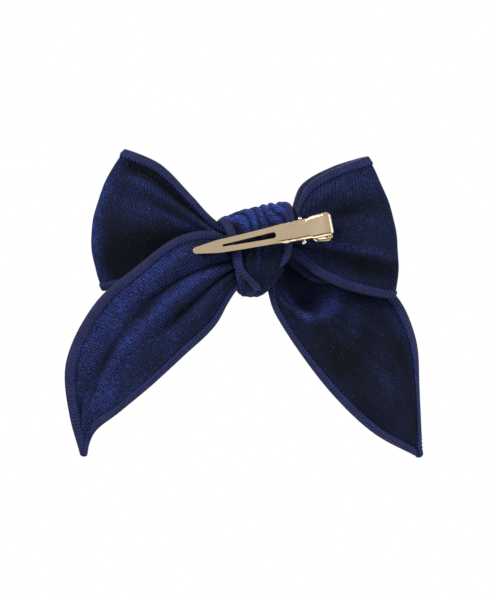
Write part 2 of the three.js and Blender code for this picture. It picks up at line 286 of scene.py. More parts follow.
def three_lines(low, middle, high):
    lines = [Line(low), Line(middle), Line(high)]

    def base(u, v):
        w = v[..., None]
        return (
            lines[0].at(u) * (1 - w) * (1 - 2 * w)
            + lines[1].at(u) * 4 * w * (1 - w)
            + lines[2].at(u) * w * (2 * w - 1)
        )

    return base


class MeshParts:
    """Collects grids of places into one closed mesh with a UV map in metres. Its point attribute holds
    painted light and shade, from 0 to 1: for velvet lit on ridges and dark in creases and hollows, and
    for thread lit where the stitch stands up and dark between the stitches."""

    def __init__(self):
        self.places, self.faces, self.uvs, self.painted_light_values = [], [], [], []
        self.count = 0

    def grid(self, places, uv, wrap_along=False, wrap_across=True, caps=False, lay=0.5):
        n, m = places.shape[:2]
        self.places.append(places.reshape(-1, 3))
        self.painted_light_values.append(np.broadcast_to(lay, (n, m)).ravel())
        i = np.arange(n if wrap_along else n - 1)
        j = np.arange(m if wrap_across else m - 1)
        i, j = (a.ravel() for a in np.meshgrid(i, j, indexing="ij"))
        corners = [(i, j), (i + 1, j), (i + 1, j + 1), (i, j + 1)]
        index = [self.count + (a % n) * m + (b % m) for a, b in corners]
        self.faces.extend(np.stack(index, 1).tolist())
        self.uvs.extend(np.stack([uv[a, b] for a, b in corners], 1).reshape(-1, 2).tolist())
        if caps:
            for row, way in ((0, 1), (n - 1, -1)):
                ring = [self.count + row * m + k for k in range(m)][::way]
                self.faces.append(ring)
                self.uvs.extend([uv[row, 0].tolist()] * m)
        self.count += n * m

    def build(self, name):
        mesh = bpy.data.meshes.new(name)
        mesh.from_pydata(np.vstack(self.places).tolist(), [], self.faces)
        layer = mesh.uv_layers.new(name="strip")
        layer.data.foreach_set("uv", np.array(self.uvs, np.float32).ravel())
        # This point attribute holds the painted light and shade.
        brushed = mesh.attributes.new("painted_lighting", "FLOAT", "POINT")
        brushed.data.foreach_set("value", np.concatenate(self.painted_light_values).astype(np.float32))
        mesh.validate()
        piece = bpy.data.objects.new(name, mesh)
        bpy.context.scene.collection.objects.link(piece)
        in_edit_mode(
            piece,
            lambda: bpy.ops.mesh.remove_doubles(threshold=1e-6),
            lambda: bpy.ops.mesh.normals_make_consistent(inside=False),
        )
        bpy.ops.object.shade_smooth()
        return piece


def shell_grid(parts, cloth, low, high, thickness, along, across, rounding=0.35):
    """Adds a closed shell of even thickness between two shares of a cloth's width."""
    rows = along if cloth.closed else along + 1
    u = np.arange(rows) / along
    corner = np.arange(2 * across)
    angle = np.pi * np.minimum(corner, 2 * across - corner) / across
    share = (1 - np.cos(angle)) / 2
    face = np.where(corner < across, 1.0, -1.0)
    half = face * np.sin(angle) ** rounding * (corner % across != 0) * thickness / 2
    uu = np.repeat(u[:, None], len(corner), 1)
    vv = low(u)[:, None] + (high(u) - low(u))[:, None] * share
    end = np.ones(rows)
    if not cloth.closed:
        end[[0, -1]] = 0
    places = cloth.at(uu, vv) + cloth.square(uu, vv) * (half * end[:, None])[..., None]
    length = length_along(cloth.smooth_at(u, 0 * u + 0.5))
    if cloth.closed:
        length = np.append(length, length[-1] * along / (along - 1))
    width = cloth.width(u)[:, None] * vv
    width = np.concatenate([width, width[:, :1]], 1)
    if cloth.closed:
        width = np.concatenate([width, width[:1]], 0)
    uv = np.stack([np.repeat(length[:, None], len(corner) + 1, 1), width], -1)
    # The cloth's painted light and shade go onto the shell's points.
    parts.grid(places, uv, wrap_along=cloth.closed, lay=np.clip(cloth.lay(uu, vv), 0, 1))


def tube_grid(parts, path, square, radius, sides=5, closed=False, lay=1.0):
    """Adds a round thread along a path; square points away from what it lies on."""
    if closed:
        along = unit(np.roll(path, -1, 0) - np.roll(path, 1, 0))
    else:
        along = unit(np.gradient(path, axis=0))
    side = unit(np.cross(along, square))
    up = np.cross(side, along)
    turn = 2 * np.pi * np.arange(sides) / sides
    ring = np.cos(turn)[:, None] * side[:, None] + np.sin(turn)[:, None] * up[:, None]
    places = path[:, None] + ring * radius
    step = np.linalg.norm(np.diff(path, axis=0), axis=-1)
    length = np.concatenate([[0], np.cumsum(step)])
    if closed:
        length = np.append(length, length[-1] + step[-1])
    around = np.arange(sides + 1) / sides * 2 * np.pi * radius
    uv = np.stack(np.broadcast_arrays(length[:, None], around), -1)
    parts.grid(places, uv, wrap_along=closed, caps=not closed, lay=lay)


# ---- how each stretch of the strip lies --------------------------------------------------------


def wander(u, v, seed):
    """A slow, uneven ripple between about -1 and 1 that never repeats along a strip."""
    a, b, c = 1.7 * seed, 2.9 * seed, 4.3 * seed
    return (
        np.sin(9.1 * u + 4.3 * v + a) * np.sin(3.7 * u - 7.9 * v + b)
        + 0.6 * np.sin(17.3 * u - 11.9 * v + c) * np.sin(5.3 * u + 15.1 * v + a)
    ) / 1.6


def crease(v, centre, width):
    """A sharp-bottomed line of depth 1."""
    return -np.exp(-np.abs(v - centre) / width)


def reach_of(u):
    """How far out along a loop a place lies: 0 at the knot, 1 at the outer fold."""
    return 1 - np.abs(2 * u - 1)


def loop_gathers(u, v, seed, count):
    """Pleats that run out of the knot and die away towards the outer fold."""
    reach = reach_of(u)
    pleats = np.cos(2 * np.pi * (count * v + 0.45 * wander(0.8 * u, v, seed)))
    fine = np.cos(2 * np.pi * (2.3 * count * v + 0.5 * wander(u, v, seed + 1)))
    pleats = 0.9 * pleats * fall(reach, 0.05, 0.6)
    return pleats + 0.45 * fine * fall(reach, 0.05, 0.35)


def display_folds(u, v, seed, count):
    """A loop's display side: gathers over one broad swell."""
    swell = 1.1 * hump(v, 0.5, 0.2) * (1 - rise(reach_of(u), 0.5, 1))
    return 1.6 * loop_gathers(u, v, seed, count) + swell


def both_sides(u, turn_over, clip_side, display_side):
    """Passes from a loop's clip side to its display side round the outer fold at u = 0.5."""
    back = fall(u, *turn_over)
    return back * clip_side + (1 - back) * display_side


def spots(u, v, *places):
    """Soft ovals, each (u, v, half length, half width, turn in degrees, strength)."""
    total = 0 * u
    for centre_u, centre_v, length, width, turn, strength in places:
        c, s = math.cos(math.radians(turn)), math.sin(math.radians(turn))
        du, dv = u - centre_u, v - centre_v
        total = total + strength * np.exp(
            -(((du * c + dv * s) / length) ** 2) - ((dv * c - du * s) / width) ** 2
        )
    return total


def left_crease(u):
    """Where the sharp fold under the left loop's top edge lies."""
    return 0.62 + 0.56 * np.minimum(u, 0.45)


def left_loop_folds(u, v):
    """Millimetres that the left loop's folds stand out, and so on for the stretches below."""
    reach = reach_of(u)
    line = left_crease(u)
    side = 2.2 * crease(v, line + 0.03, 0.045) * fall(reach, 0.8, 0.98)
    side = side + 1.6 * hump(v, line - 0.06, 0.07) * fall(reach, 0.7, 1.0)
    side = side + spots(u, v, (0.33, 0.22, 0.12, 0.15, 0, -1.6), (0.2, 0.45, 0.1, 0.1, 0, -0.8))
    side = side + 0.45 * loop_gathers(u, v, 1, 3.2)
    both = both_sides(u, (0.44, 0.5), side, display_folds(u, v, 7, 2.6))
    return rise(reach, 0.02, 0.14) * (both + 0.35 * wander(1.5 * u, v, 2))


def left_loop_painted_light(u, v):
    """Painted light and shade on the left loop, from 0 to 1, and so on for those below: lit on ridges
    and the outer fold, dark in creases and hollows.
    """
    line = left_crease(u)
    shade = 0.13 + spots(
        u, v,
        (0.37, 0.2, 0.11, 0.2, 0, -0.5), (0.2, 0.42, 0.12, 0.1, 0, -0.2),
        (0.485, 0.55, 0.03, 0.5, 0, 0.42), (0.475, 0.2, 0.03, 0.25, 0, 0.3),
        (0.3, 0.6, 0.12, 0.06, 20, 0.26), (0.4, 0.62, 0.05, 0.22, 0, 0.14),
        (0.25, 0.55, 0.06, 0.05, 10, 0.15),
    )
    # Painted shadow along the crease, and painted light on the ridge below it.
    shade = shade - 0.42 * hump(v, line + 0.05, 0.05) * fall(u, 0.42, 0.48)
    shade = shade + 0.2 * hump(v, line - 0.04, 0.04) * fall(u, 0.4, 0.47)
    display = 0.5 + 0.25 * loop_gathers(u, v, 7, 2.6)
    return both_sides(u, (0.5, 0.53), shade, display) + 0.1 * wander(2.2 * u, 1.5 * v, 21)


def right_loop_folds(u, v):
    reach = reach_of(u)
    side = 1.9 * hump(v, 0.35 - 0.06 * reach, 0.05) * fall(reach, 0.75, 1.0)
    side = side + 1.4 * crease(v, 0.27 - 0.08 * reach, 0.05) * fall(reach, 0.6, 0.95)
    side = side + spots(
        u, v,
        (0.36, 0.6, 0.14, 0.07, 35, -1.7), (0.33, 0.8, 0.16, 0.07, 10, 1.3),
        (0.4, 0.17, 0.12, 0.07, 0, -1.3), (0.25, 0.45, 0.1, 0.06, 0, -0.8),
    )
    side = side + 0.45 * loop_gathers(u, v, 3, 3.6)
    both = both_sides(u, (0.44, 0.5), side, display_folds(u, v, 8, 2.7))
    return rise(reach, 0.02, 0.14) * (both + 0.4 * wander(1.4 * u, v, 4))


def right_loop_painted_light(u, v):
    reach = reach_of(u)
    shade = 0.25 + spots(
        u, v,
        (0.33, 0.62, 0.13, 0.06, 35, -0.22), (0.4, 0.18, 0.12, 0.07, 0, -0.26),
        (0.33, 0.86, 0.17, 0.06, 8, 0.16), (0.4, 0.76, 0.08, 0.05, 0, 0.1),
        (0.495, 0.5, 0.012, 0.6, 0, 0.25), (0.17, 0.2, 0.08, 0.1, 20, 0.1),
        (0.25, 0.08, 0.1, 0.06, 0, 0.12),
    )
    # Painted light on the ridge and painted shade in the crease beside it.
    ridge = hump(v, 0.355 - 0.06 * reach, 0.022) - 0.8 * hump(v, 0.3 - 0.06 * reach, 0.03)
    shade = shade + 0.27 * ridge * rise(u, 0.1, 0.18) * (1 - 0.6 * rise(u, 0.36, 0.44))
    display = 0.45 + 0.25 * loop_gathers(u, v, 8, 2.7)
    return both_sides(u, (0.5, 0.53), shade, display) + 0.07 * wander(2.1 * u, 1.4 * v, 22)


def left_tail_folds(u, v):
    near = rise(u, 0.03, 0.12)
    fade = fall(u, 0.3, 0.6)
    upper, lower = 0.44 + 0.55 * u, 0.33 + 0.1 * u
    fan = 1.7 * crease(v, upper, 0.04) + 1.5 * crease(v, lower, 0.045)
    fan = fan + 1.5 * hump(v, (upper + lower) / 2, 0.06) + 1.4 * hump(v, upper + 0.15, 0.09)
    fan = fan + 1.2 * hump(v, lower - 0.14, 0.08)
    fan = fan + 0.5 * np.cos(2 * np.pi * (7 * v + 0.5 * wander(u, v, 9))) * fall(u, 0.1, 0.3)
    long = spots(
        u, v,
        (0.5, 0.52, 0.18, 0.06, 0, 1.0), (0.47, 0.64, 0.1, 0.05, 0, -1.1),
        (0.68, 0.6, 0.08, 0.14, 60, -1.0), (0.83, 0.72, 0.06, 0.1, 0, -0.9),
        (0.45, 0.3, 0.12, 0.08, 0, -0.8),
    )
    soft = 0.8 * np.sin(2 * np.pi * (0.9 * v + 0.6 * u))
    soft = soft * rise(u, 0.3, 0.6) * fall(u, 0.85, 1)
    return near * (fan * fade + long + 0.5 * wander(1.3 * u, 1.2 * v, 5)) + soft


def left_tail_painted_light(u, v):
    upper, lower = 0.44 + 0.55 * u, 0.33 + 0.1 * u
    fade = fall(u, 0.32, 0.5)
    # Painted shade in the two creases that fan from the knot, and painted light on the ridge between
    # them.
    shade = 0.39 - 0.34 * fade * (hump(v, upper, 0.025) + hump(v, lower, 0.035))
    shade = shade + 0.22 * fade * hump(v, (upper + lower) / 2 + 0.02, 0.04) * rise(u, 0.12, 0.25)
    return shade + spots(
        u, v,
        (0.36, 0.35, 0.08, 0.05, 5, -0.2), (0.47, 0.63, 0.06, 0.04, 10, -0.25),
        (0.68, 0.62, 0.03, 0.14, 70, -0.2), (0.84, 0.75, 0.04, 0.1, 0, -0.3),
        (0.6, 0.52, 0.2, 0.05, 0, 0.22), (0.5, 0.85, 0.3, 0.09, 0, 0.2),
        (0.75, 0.35, 0.1, 0.1, 0, 0.14), (0.15, 0.8, 0.12, 0.15, 0, -0.15),
        (0.45, 0.2, 0.24, 0.1, 0, -0.13), (0.13, 0.15, 0.1, 0.2, 0, -0.2),
    ) + 0.12 * wander(2.0 * u, 1.6 * v, 23)


def right_bowl(v):
    """How far along the right tail the rim of its hollow lies."""
    return 0.4 - 2.2 * np.maximum(0.42 - v, 0) ** 2 - 0.35 * np.maximum(v - 0.42, 0) ** 2


def right_tail_folds(u, v):
    near = rise(u, 0.03, 0.12)
    fade = fall(u, 0.25, 0.6)
    pocket = spots(u, v, (0.31, 0.46, 0.1, 0.15, 0, -3.2))
    lip = 2.2 * hump(u, right_bowl(v), 0.035) * hump(v, 0.42, 0.22)
    arms = 1.5 * hump(v, 0.16, 0.06) * fade + 1.6 * hump(v, 0.8, 0.07) * fade
    spur = spots(u, v, (0.46, 0.68, 0.09, 0.035, -10, 1.4), (0.44, 0.58, 0.07, 0.03, 0, -0.9))
    fine = 0.5 * np.cos(2 * np.pi * (6 * v + 0.5 * wander(u, v, 10))) * fall(u, 0.08, 0.25)
    soft = np.sin(2 * np.pi * (0.8 * v - 0.5 * u + 0.4))
    soft = soft * rise(u, 0.45, 0.7) * fall(u, 0.85, 1)
    return near * (pocket + lip + arms + spur + fine + 0.5 * wander(1.2 * u, v, 6)) + soft


def right_tail_painted_light(u, v):
    bowl = right_bowl(v)
    # Painted light on the rim and arm of the hollow, and painted shade inside it.
    rim = hump(u, bowl, 0.03) * rise(v, 0.08, 0.2) * fall(v, 0.62, 0.8)
    arm = hump(u, bowl + 0.01, 0.07) * rise(v, 0.4, 0.6) * fall(v, 0.72, 0.88)
    hollow = fall(u, bowl - 0.05, bowl - 0.01) * rise(u, 0.12, 0.2) * rise(v, 0.14, 0.22)
    return 0.09 + 0.3 * rim + 0.17 * arm + 0.05 * hollow + spots(
        u, v,
        (0.385, 0.3, 0.022, 0.07, 0, 0.35), (0.26, 0.33, 0.09, 0.045, 0, 0.34),
        (0.16, 0.14, 0.12, 0.05, 6, 0.2), (0.36, 0.12, 0.08, 0.06, 0, 0.1),
        (0.47, 0.5, 0.04, 0.03, 0, -0.1), (0.44, 0.74, 0.03, 0.04, 0, 0.18),
        (0.475, 0.64, 0.03, 0.045, 0, 0.22), (0.515, 0.56, 0.025, 0.04, 0, 0.16),
        (0.36, 0.86, 0.08, 0.05, 0, 0.1), (0.57, 0.36, 0.1, 0.2, 0, -0.1),
        (0.6, 0.78, 0.1, 0.05, 0, -0.1), (0.69, 0.5, 0.07, 0.06, 0, 0.26),
        (0.64, 0.6, 0.05, 0.05, 0, 0.12), (0.6, 0.9, 0.26, 0.07, 0, 0.2),
        (0.83, 0.45, 0.06, 0.1, 0, 0.1), (0.08, 0.4, 0.08, 0.3, 0, 0.32),
        (0.5, 0.1, 0.2, 0.05, 0, 0.1),
    ) + 0.1 * wander(2.3 * u, 1.7 * v, 24)


# Each stretch's first side, middle and last side as places along it, in millimetres.
LINES = {
    "left_loop": (
        [
            (-3.2, 8.6, -3.6), (-9, 8.2, -4.6), (-19, 7.6, -8.5), (-32, 8, -13), (-46.6, 10.8, -16),
            (-32, 14.6, -12), (-19, 15.2, -7), (-9, 14.6, -4), (-3.2, 13.4, -3.6),
        ],
        [
            (-3.2, 8, 0.2), (-9, 7.2, 1), (-19, 6.6, 4), (-34, 6.4, 7), (-49.6, 10.8, 7.5),
            (-34, 16.8, 7), (-19, 17.2, 4), (-9, 15, 1), (-3.2, 14, 0.2),
        ],
        [
            (-3.2, 8.6, 4), (-9.5, 8, 6.9), (-17.3, 7, 15.5), (-28, 7.4, 26.3), (-39, 10.8, 31.2),
            (-28, 14.6, 26), (-18, 15, 16.5), (-9.5, 14, 6.9), (-3.2, 13.4, 4),
        ],
    ),
    "right_loop": (
        [
            (9.6, 8.6, -2.4), (16, 7.4, -5), (24, 6, -11.3), (35, 7, -16.2), (48.7, 11, -18.6),
            (35, 12.8, -13.5), (23, 11.4, -13), (15.6, 11.6, -7.4), (9.6, 13.4, -2.4),
        ],
        [
            (9.6, 8, 2), (17, 6.6, 3.2), (26, 5.8, 5), (37, 6.5, 5.5), (49.2, 11, 4.5),
            (37, 17, 5.5), (26, 17, 5), (17, 15.4, 3.2), (9.6, 14, 2),
        ],
        [
            (9.6, 8.6, 6), (14.8, 7.8, 8.6), (20.2, 6.6, 19), (29.5, 7.3, 24.6), (40.2, 11, 29),
            (28.6, 15, 25.6), (18.6, 15.2, 19.4), (14.8, 14, 9.2), (9.6, 13.4, 6),
        ],
    ),
    "left_tail": (
        [
            (1.4, 8.4, -10.6), (-3.9, 6.2, -16.8), (-9.5, 6, -27), (-20, 6, -37.2),
            (-31, 6.5, -47.2), (-41.5, 8, -56), (-50, 9.3, -63), (-53.2, 10, -71),
        ],
        [
            (-1.5, 5.6, -5), (-7.5, 4.4, -7), (-16, 3.8, -13), (-27, 3.8, -23), (-38, 4.6, -34),
            (-47, 7.4, -47), (-53, 9, -59), (-53.8, 10, -71.1),
        ],
        [
            (-3.6, 5.6, 1), (-11, 4.8, 3.8), (-22, 4.4, 2.1), (-36, 4.2, -8), (-49.5, 5, -20.2),
            (-59.4, 8, -40), (-58.2, 9.5, -58), (-54.4, 10, -70.9),
        ],
    ),
    "right_tail": (
        [
            (5.6, 10, -10.5), (7.4, 8.4, -15.6), (9.8, 7.6, -23), (16.5, 8, -34), (28.7, 9, -50),
            (42.8, 9.5, -63.3), (57.9, 10, -71.5),
        ],
        [
            (7.6, 13, -7.5), (13, 12.6, -12), (22, 12.4, -20), (33.5, 11.5, -30), (44.5, 10.5, -43),
            (52, 10, -57), (58.5, 10, -71.2),
        ],
        [
            (9, 16, -4), (20, 17, -5.5), (36, 17.4, -8.5), (50, 15, -16.5), (57, 12.5, -31),
            (58.4, 11, -48), (59, 10, -70.9),
        ],
    ),
}


def knot_base(u, v):
    """u goes round the knot from its top over the clip side, v from left to right."""
    turn = 2 * np.pi * u
    up, out = np.cos(turn), np.sin(turn)
    left = -5.9 - 3.4 * up + 1.5 * out
    right = 13.3 + 4.1 * up - 2.2 * np.cos(2 * turn)
    x = left + (right - left) * v
    bottom = -16.5
    half_height = (9.6 + 0.25 * x - bottom) / 2
    barrel = 1 - 0.14 * np.abs(2 * v - 1) ** 4

    def boxy(t):
        return np.sign(t) * np.abs(t) ** (2 / 2.6)

    return np.stack(
        [x, 11.0 - 8.4 * barrel * boxy(out), bottom + half_height * (1 + barrel * boxy(up))], -1
    )


def knot_lobes(u, v):
    """Puffed pleats that run round the knot: 0 in the creases between them, 1 on their crests."""
    turn = 2 * np.pi * u
    lean = 1.6 * np.sin(turn) + 0.35 * np.sin(2 * turn + 5 * v)
    place = 5.6 * v - lean * np.sin(np.pi * v) ** 0.5 + 0.3 * np.sin(9 * v + 2 * turn) + 0.2
    return np.abs(np.sin(np.pi * place)) ** 0.8, 0.8 + 0.2 * np.sin(5.1 * np.floor(place) + 1.3)


def knot_top(u):
    """1 over the knot's top and display side, less where the clip presses on it and below."""
    return 1 - 0.75 * rise(u, 0.12, 0.24) * fall(u, 0.5, 0.62)


def knot_folds(u, v):
    turn = 2 * np.pi * u
    lobe, uneven = knot_lobes(u, v)
    edge = rise(v, 0, 0.05) * rise(1 - v, 0, 0.08)
    deep = 1.9 * knot_top(u) * uneven * (lobe - 0.75)
    return edge * (deep + 0.25 * wander(3 * np.cos(turn), 2 * v, 11))


def knot_painted_light(u, v):
    lobe, uneven = knot_lobes(u, v)
    # Painted light on the lobes' crests and painted shade in the creases between them, over the knot's
    # top and display side; on the clip side and underneath, a low painted shade with a few lit spots.
    top = 1 - rise(u, 0.14, 0.22) * fall(u, 0.55, 0.65)
    crests = (0.1 + 1.1 * lobe**2 * uneven) * (0.65 + 0.35 * rise(v, 0.15, 0.4))
    below = 0.16 + spots(
        u, v, (0.26, 0.44, 0.03, 0.03, 0, 0.35), (0.25, 0.56, 0.03, 0.025, 0, 0.22),
        (0.33, 0.03, 0.12, 0.1, 0, 0.4), (0.44, 0.5, 0.05, 0.3, 0, 0.28),
        (0.32, 0.3, 0.05, 0.05, 0, 0.15),
    )
    return top * crests + (1 - top) * below


# How the wrap's thread edges lie: how far in from the side, as a share of the wrap's width, how
# far above it in millimetres, and how far they are turned under. The left one crosses the wrap
# low on the clip side and ends tucked under; the right one is turned under below the clip.
def wrap_left_lay(u):
    inward = (0.02 + 0.42 * rise(u, 0.28, 0.41)) * fall(u, 0.52, 0.64)
    dive = rise(u, 0.38, 0.42) * fall(u, 0.62, 0.7)
    return inward, 0.25 + 0.75 * rise(u, 0.2, 0.26) * fall(u, 0.5, 0.6) - 4.5 * dive, 0 * u


def wrap_right_lay(u):
    return 0 * u, 0 * u + 0.1, rise(u, 0.27, 0.33) * fall(u, 0.5, 0.6)


def level_lay(u):
    return 0 * u, 0 * u, 0 * u


EDGE_LAYS = {("knot_wrap", "left"): wrap_left_lay, ("knot_wrap", "right"): wrap_right_lay}

# Each stretch's sides, folds, painted light and shade, outward side, and the most of its width that an
# edging takes.
STRIPS = {
    "left_loop": ("bottom", "top", left_loop_folds, left_loop_painted_light, -1, 0.22),
    "right_loop": ("bottom", "top", right_loop_folds, right_loop_painted_light, 1, 0.22),
    "left_tail": ("inner", "outer", left_tail_folds, left_tail_painted_light, -1, 0.44),
    "right_tail": ("inner", "outer", right_tail_folds, right_tail_painted_light, 1, 0.44),
    "knot_wrap": ("left", "right", knot_folds, knot_painted_light, 1, 0.22),
}
CLOTHS = {}


def cloth_of(name):
    if name not in CLOTHS:
        first, last, folds, lay, outward, most_edging = STRIPS[name]
        nodes = [name, f"{name}_{first}_edging", f"{name}_{last}_edging"]
        base = three_lines(*LINES[name]) if name in LINES else knot_base
        closed = name not in LINES
        CLOTHS[name] = Cloth(base, folds, lay, outward, nodes, most_edging, closed)
    return CLOTHS[name]


# ---- materials ---------------------------------------------------------------------------------


def add_node(tree, kind, values=None, links=None, **options):
    """Adds one shader node with its options, socket values and links from (node, socket)."""
    node = tree.nodes.new(kind)
    for key, value in options.items():
        setattr(node, key, value)
    for key, value in (values or {}).items():
        node.inputs[key].default_value = value
    for key, (source, socket) in (links or {}).items():
        tree.links.new(source.outputs[socket], node.inputs[key])
    return node


def new_material(name):
    material = bpy.data.materials.new(name)
    material.use_nodes = True
    material.node_tree.nodes.clear()
    return material, material.node_tree


def tinted(colour, factor):
    """A linear colour made darker or lighter."""
    return [factor * c for c in colour[:3]] + [1]


def velvet_material(name="knitted velvet, crushed pile", seed=0.0):
    """Knitted polyester velvet, piece dyed: short pile with a blue sheen at glancing angles, fine
    knitted ribs and brushed patches. Its colour is painted shade and light from the mesh's painted
    light attribute: dark in creases and hollows, lit on ridges, with painted glints on single pile
    ends. The ribs and pile ends are drawn coarser than real ones, so that they show."""
    look = settings("bow_velvet")
    material, tree = new_material(name)
    where = add_node(tree, "ShaderNodeTexCoord")
    strip = add_node(tree, "ShaderNodeUVMap", uv_map="strip")
    offset = {"Location": (seed, 0.3 * seed, 0.7 * seed)}
    moved = add_node(tree, "ShaderNodeMapping", offset, {"Vector": (where, "Object")})
    # Painted light and shade, from the shape of the folds: lit on ridges, dark in creases and hollows.
    brushed = add_node(tree, "ShaderNodeAttribute", attribute_name="painted_lighting")
    # Soft patches about 9 mm across, tufts about 0.8 mm, and pile ends about 0.4 mm.
    patches, tufts, pile = (
        add_node(tree, "ShaderNodeTexNoise", values, {"Vector": (moved, 0)})
        for values in (
            {"Scale": 0.11 / MM, "Detail": 3.0, "Distortion": 0.8},
            {"Scale": 1.2 / MM, "Detail": 2.0},
            {"Scale": 2.6 / MM, "Detail": 1.0},
        )
    )
    # Streaks about 1 mm wide and 5 mm long, across the strip, as a hand leaves them.
    skew = {"Rotation": (0, 0, look.bias)}
    stretch = {"Scale": (0.9 / MM, 0.19 / MM, 1)}
    brush = add_node(tree, "ShaderNodeMapping", {**skew, **stretch}, {"Vector": (strip, "UV")})
    streaks = add_node(
        tree, "ShaderNodeTexNoise", {"Scale": 1.0, "Detail": 2.0}, {"Vector": (brush, 0)}
    )
    # Knitted ribs, a little skew to the strip and bent by the streaks.
    turned = add_node(tree, "ShaderNodeMapping", skew, {"Vector": (strip, "UV")})
    parts = add_node(tree, "ShaderNodeSeparateXYZ", links={"Vector": (turned, 0)})
    ribs = {1: 2 * math.pi / look.rib_pitch}
    phase = add_node(tree, "ShaderNodeMath", ribs, {0: (parts, "X")}, operation="MULTIPLY")
    jitter = add_node(tree, "ShaderNodeMath", {1: 2.5}, {0: (streaks, 0)}, operation="MULTIPLY")
    bent = add_node(tree, "ShaderNodeMath", links={0: (phase, 0), 1: (jitter, 0)}, operation="ADD")
    rib = add_node(tree, "ShaderNodeMath", links={0: (bent, 0)}, operation="SINE")
    # Painted glints: single pile ends drawn bright, as if they caught the light.
    bright = {"From Min": 0.54, "From Max": 0.72, "To Max": 1.3}
    sparkle = add_node(tree, "ShaderNodeMapRange", bright, {"Value": (pile, 0)})
    # The shares of the grain. The noises swing round a half, so half their shares is taken off.
    noises = ((patches, 0.5), (streaks, 0.9), (tufts, 1.3), (pile, 1.5))
    start = 0.88 - 0.5 * sum(share for _, share in noises)
    grain = None
    for source, share in (*noises, (rib, 0.33), (sparkle, 1.0)):
        values = {1: share} if grain else {1: share, 2: start}
        links = {0: (source, 0), 2: (grain, 0)} if grain else {0: (source, 0)}
        grain = add_node(tree, "ShaderNodeMath", values, links, operation="MULTIPLY_ADD")
    # The grain is scaled by the painted light, so it shows most where light is painted.
    shade = add_node(
        tree, "ShaderNodeMath", links={0: (brushed, "Fac"), 1: (grain, 0)}, operation="MULTIPLY"
    )
    # The ramp paints shade and light: the deep colour where shade is painted, the lit colour where
    # light is painted.
    ramp = add_node(tree, "ShaderNodeValToRGB", links={"Fac": (shade, 0)})
    ramp.color_ramp.elements[0].position = 0.0
    ramp.color_ramp.elements[1].position = 1.0
    ramp.color_ramp.elements[0].color = linear(look.deep)
    ramp.color_ramp.elements[1].color = linear(look.lit)
    ramp.color_ramp.elements.new(0.45).color = linear(look.between)
    # Faint specks of lint, about 0.2 mm across.
    cells = add_node(tree, "ShaderNodeTexVoronoi", {"Scale": 0.8 / MM}, {"Vector": (moved, 0)})
    faint = {"From Min": 0.12, "From Max": 0.06, "To Max": 0.2}
    speck = add_node(tree, "ShaderNodeMapRange", faint, {"Value": (cells, "Distance")})
    colour = add_node(
        tree,
        "ShaderNodeMix",
        {"B": linear("9aa3b4")},
        {"Factor": (speck, 0), "A": (ramp, 0)},
        data_type="RGBA",
    )
    # Each unevenness stands on the one before, with its strength and height.
    relief = None
    for source, strength, height in (
        (patches, 0.7, 0.8 * MM), (tufts, 0.6, 0.2 * MM), (rib, 0.5, 0.06 * MM), (pile, 0.6, 0.2 * MM)
    ):
        values = {"Strength": strength, "Distance": height}
        links = {"Height": (source, 0), "Normal": (relief, 0)} if relief else {"Height": (source, 0)}
        relief = add_node(tree, "ShaderNodeBump", values, links)
    shader = add_node(
        tree,
        "ShaderNodeBsdfPrincipled",
        {
            "Roughness": 0.9,
            "IOR": 1.45,
            "Specular IOR Level": 0.1,
            "Sheen Weight": 0.25,
            "Sheen Roughness": 0.35,
            "Sheen Tint": linear(look.sheen),
        },
        {"Base Color": (colour, 2), "Normal": (relief, 0)},
    )
    add_node(tree, "ShaderNodeOutputMaterial", links={"Surface": (shader, 0)})
    return material


